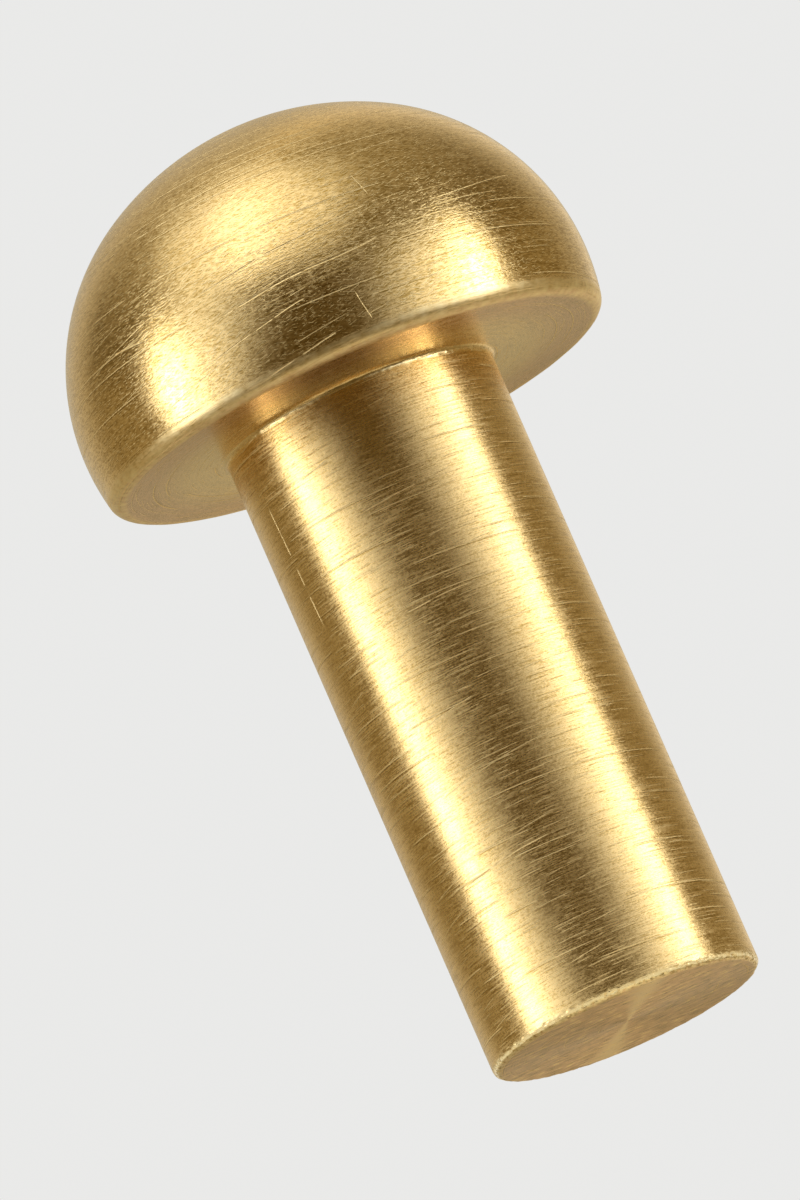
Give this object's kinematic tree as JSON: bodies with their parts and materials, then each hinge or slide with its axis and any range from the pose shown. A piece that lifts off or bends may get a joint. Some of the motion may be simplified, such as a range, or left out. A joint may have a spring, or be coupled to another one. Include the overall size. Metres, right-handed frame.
{
  "type": "solid rivet",
  "caption": "One-piece solid rivet: a high round head over a flat seat, and a straight shank with a flat tip that is upset to clamp sheets.",
  "frame": {"origin": "centre of the seat, the flat ring under the head, where the shank begins", "axes": "+Z along the rivet's axis, out through the crown of the head; the shank runs down -Z; X and Y are any two directions across it, as the part is round"},
  "size_m": [0.0114, 0.0114, 0.0207],
  "materials": {
    "brass": "finely brushed"
  },
  "bodies": {
    "root": {"rivet": "brass"}
  },
  "joints": []
}
